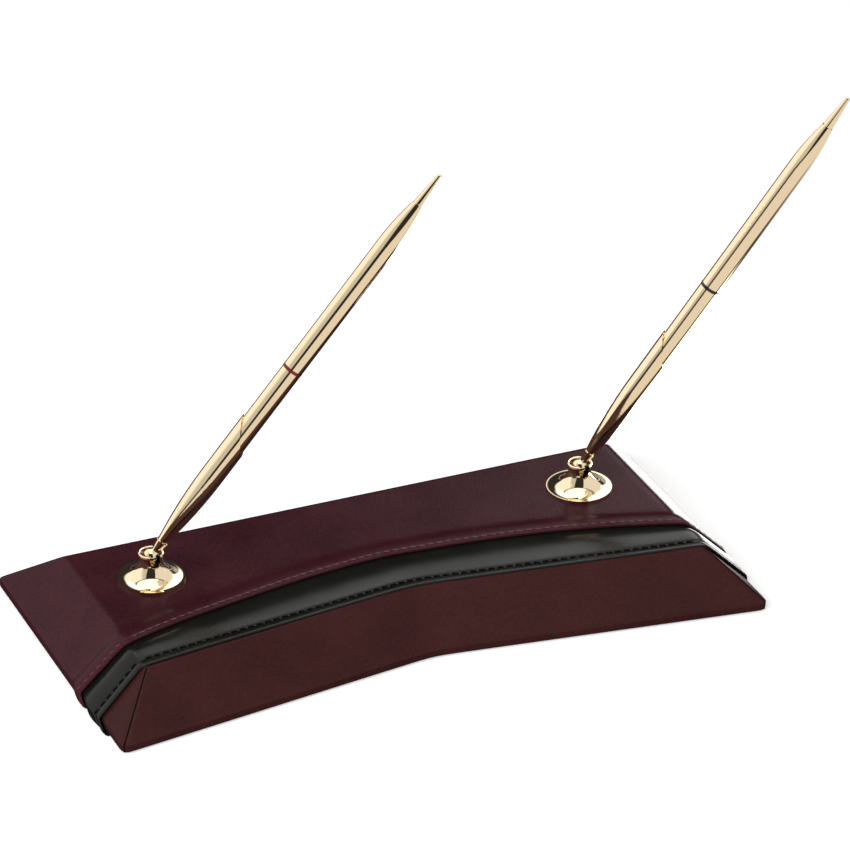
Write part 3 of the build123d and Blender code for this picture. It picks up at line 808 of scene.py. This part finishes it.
# %% Front panel
# Each level has its height and how far the panel is turned in there, in millimetres.
PANEL_LEVELS = [
    (19.9, 2.6), (20.15, 0.8), (20.2, 0.12), (19.95, 0), (19.2, 0), (18.0, 0), (16.0, 0), (13.0, 0),
    (10.0, 0), (7.0, 0), (5.2, 0), (4.5, 0), (4.1, 0.1), (3.85, 0.22), (3.6, 0.02), (3.0, 0), (1.6, 0.1),
    (0.8, 0.3), (0.3, 1.3), (0.3, 4.5),
]
# The first columns have their distance from the corner and how deep they lie, in millimetres.
GROOVE = [(0.24, -0.75), (0.26, -0.4), (0.3, -0.12), (0.55, 0.0), (1.2, 0.0), (2.2, 0.0), (3.4, 0.0)]
PANEL_SHARES = [0.9, 0.75, 0.6, 0.45, 0.3, 0.18, 0.09, 0.04]
PANEL_FOLD_ROUND = 3 * MM


def front_column(column):
    """Side of a column of the front panel, its distance from the corner or share of the half, its depth."""
    count = len(GROOVE) + len(PANEL_SHARES)
    side = 1 if column >= count else -1
    number = column if column < count else 2 * count - column
    if number < len(GROOVE):
        return side, GROOVE[number][0] * MM, None, GROOVE[number][1] * MM
    if number == count:
        return 1, None, 0.0, 0.0
    return side, None, PANEL_SHARES[number - len(GROOVE)], 0.0


def front_place(column, row):
    """Place of a vertex of the front panel."""
    side, distance, share, depth = front_column(column)
    level = PANEL_LEVELS[row]
    if share is None:
        point = panel_point(level, distance, depth, FRONT_ALONG, FRONT_OUT)
    else:
        corner = panel_corner(level[0] * MM)
        length = corner.x * (1 - share)
        point = corner + FRONT_ALONG * length / -FRONT_ALONG.x + Vector((0, level[1] * MM, 0))
        point.y = point.y + FOLD * (abs(point.x) - soft_distance(point.x, PANEL_FOLD_ROUND))
    return Vector((point.x * side, point.y, point.z))


bm = bmesh.new()
lay_grid(bm, 2 * (len(GROOVE) + len(PANEL_SHARES)) + 1, len(PANEL_LEVELS), front_place)
piece = finish_piece("leather_front", bm, panel_leather, replaces=["front_panel"])
print("front panel:", len(piece.data.polygons), "faces")

# %% [markdown]
# ## Corner panels
# A small triangle of the same leather closes each end in front of the strip, and its back edge goes under
# the strip. The shade at the bottom of the groove between it and the front is painted: a thin black cord
# lies there. A darker colour painted on the leather could do, but a cord of its own stays crisp from every
# side.


# %% Corner panels and the painted groove shade between them
FAR_SHARES = (0.35, 0.7, 1.0)
UNDER_STRIP = 1.5 * MM
PAST_CREASE = 1 * MM
SEAM_LEVELS = [20.0, 15.0, 11.0, 7.0, 4.8, 4.15, 3.85, 3.6, 3.2, 2.0, 0.9]
# Radius of the cord in millimetres, and its sides.
SEAM_RADIUS = 0.5
SEAM_SIDES = 6


def corner_place(column, row, sign):
    """Place of a vertex of the corner panel on the right end, or on the left with the sign of x turned."""
    level = PANEL_LEVELS[column]
    share = slope_share(level[0] * MM)
    fall = min(max((FOOT_TOP - level[0] * MM) / (FOOT_TOP - UNDER_LEVEL), 0), 1)
    edge = strip_edge_y(sign * (CREASE_X + PAST_CREASE), share, fall) + UNDER_STRIP
    if row < len(GROOVE):
        distance, depth = GROOVE[row][0] * MM, GROOVE[row][1] * MM
    else:
        groove_end = GROOVE[-1][0] * MM
        far_part = FAR_SHARES[row - len(GROOVE)]
        distance = groove_end + (edge - panel_corner(level[0] * MM).y - groove_end) * far_part
        depth = 0.0
    point = panel_point(level, distance, depth, END_ALONG, END_OUT)
    return Vector((point.x * sign, point.y, point.z))


def shade_cord_place(column, row, sign):
    """Place of a vertex of the black cord that paints the shade in the groove of one end."""
    point, facing = corner_point(SEAM_LEVELS[row] * MM, 0, END_ALONG, END_OUT)
    angle = 2 * pi * column / SEAM_SIDES
    across = facing.cross(UP)
    round_cord = facing * (cos(angle) * SEAM_RADIUS - SEAM_RADIUS) + across * sin(angle) * SEAM_RADIUS
    point = point + round_cord * MM
    return Vector((point.x * sign, point.y, point.z))


for side, sign in (("left", -1), ("right", 1)):
    bm = bmesh.new()
    rows = len(GROOVE) + len(FAR_SHARES)
    lay_grid(bm, len(PANEL_LEVELS), rows, lambda column, row: corner_place(column, row, sign))
    piece = finish_piece("leather_corner_" + side, bm, panel_leather, replaces=[side + "_corner_panel"])
    bm = bmesh.new()
    lay_grid(bm, SEAM_SIDES + 1, len(SEAM_LEVELS), lambda column, row: shade_cord_place(column, row, sign))
    bmesh.ops.remove_doubles(bm, verts=bm.verts, dist=0.01 * MM)
    # The black cord is painted shade at the bottom of the groove.
    finish_piece("painted_groove_shade_" + side, bm, black_thread_and_shade_cord, wall=0)
    print("corner:", side, len(piece.data.polygons), "faces")

# %% [markdown]
# ## Stitches
# The cover and the strip are each sewn down close behind their folded edges. A stitch is a short plump
# thread, half sunk in the small trough behind the fold and set a little aslant, as a lockstitch is. An
# array along a curve could repeat one, but it would turn at the creases. Placed one by one, each stitch
# lies on the leather that it holds, and the creases stay free.


# %% Stitches along both edges
STITCH_PITCH = 3.4 * MM
STITCH_REACH = CREASE_X + 23.4 * MM
FIRST_STITCH = 0.4 * MM
CREASE_FREE = 1.3 * MM
NEAR_STEP = 0.2 * MM
BALL_SIDES = 8
BALL_RINGS = 6


def across_at(distance):
    """Station across the block at a distance along the leather from the middle."""
    side = 1 if distance >= 0 else -1
    slope_length = sqrt(END_INSET**2 + (TOP - FOOT_TOP) ** 2)
    past = abs(distance) - CREASE_X
    if past <= 0:
        return distance, TOP, 0.0, 0.0, UP
    share = min(past / slope_length, 1)
    drop = max(past - slope_length, 0)
    normal = Vector((side, 0, 0)) if drop else Vector((side * SLOPE_NORMAL.x, 0, SLOPE_NORMAL.z))
    height = TOP - (TOP - FOOT_TOP) * share - drop
    return side * (CREASE_X + END_INSET * share), height, share, drop / (FOOT_TOP - UNDER_LEVEL), normal


def ball_place(column, row):
    """Place of a vertex of a grid that is wrapped round a ball of radius 1."""
    turn = 2 * pi * column / BALL_SIDES
    rise = pi * row / BALL_RINGS
    return Vector((cos(turn) * sin(rise), sin(turn) * sin(rise), -cos(rise)))


def make_ball():
    """Mesh of one ball. The sphere operator orders its faces anew each run, and a wrapped grid doesn't."""
    ball_bm = bmesh.new()
    lay_grid(ball_bm, BALL_SIDES + 1, BALL_RINGS + 1, ball_place)
    bmesh.ops.remove_doubles(ball_bm, verts=ball_bm.verts, dist=0.001)
    ball_mesh = bpy.data.meshes.new("stitch ball")
    ball_bm.to_mesh(ball_mesh)
    ball_bm.free()
    return ball_mesh


def sew(name, edge_y, setback, sunk, thread, slant, material):
    """Row of stitches behind a folded edge, with half sizes of the thread in millimetres."""

    def seat(distance):
        """Middle of a stitch and the outward direction there."""
        x, z, share, fall, normal = across_at(distance)
        point = Vector((x, edge_y(x, share, fall) + setback, z))
        return point + normal * (sunk[0] + sunk[1] * end_lift(share)), normal

    bm = bmesh.new()
    size = Matrix.Diagonal((*(half * MM for half in thread), 1))
    made = 0
    for number in range(int(2 * STITCH_REACH / STITCH_PITCH) + 1):
        distance = -STITCH_REACH + number * STITCH_PITCH + FIRST_STITCH
        if abs(abs(distance) - CREASE_X) < CREASE_FREE:
            continue
        middle, normal = seat(distance)
        along = (seat(distance + NEAR_STEP)[0] - seat(distance - NEAR_STEP)[0]).normalized()
        aside = normal.cross(along).normalized()
        turn = Matrix((along, aside, along.cross(aside))).transposed().to_4x4()
        place = Matrix.Translation(middle) @ turn @ Matrix.Rotation(radians(slant), 4, "Z") @ size
        bm.from_mesh(ball)
        bmesh.ops.transform(bm, matrix=place, verts=bm.verts[-len(ball.vertices):])
        made += 1
    finish_piece(name, bm, material, levels=0, wall=0)
    print(name, made, "stitches")


ball = make_ball()
sew(
    "cover_stitches", cover_edge_y, setback=2.0 * MM, sunk=(0.54 * MM, 1), thread=(1.22, 0.30, 0.24),
    slant=-10, material=wine_thread,
)
sew(
    "strip_stitches", strip_edge_y, setback=4.2 * MM, sunk=(0.72 * MM - LAYER, STRIP_LIFT_SHARE),
    thread=(1.35, 0.5, 0.3), slant=-12, material=black_thread_and_shade_cord,
)
bpy.data.meshes.remove(ball)
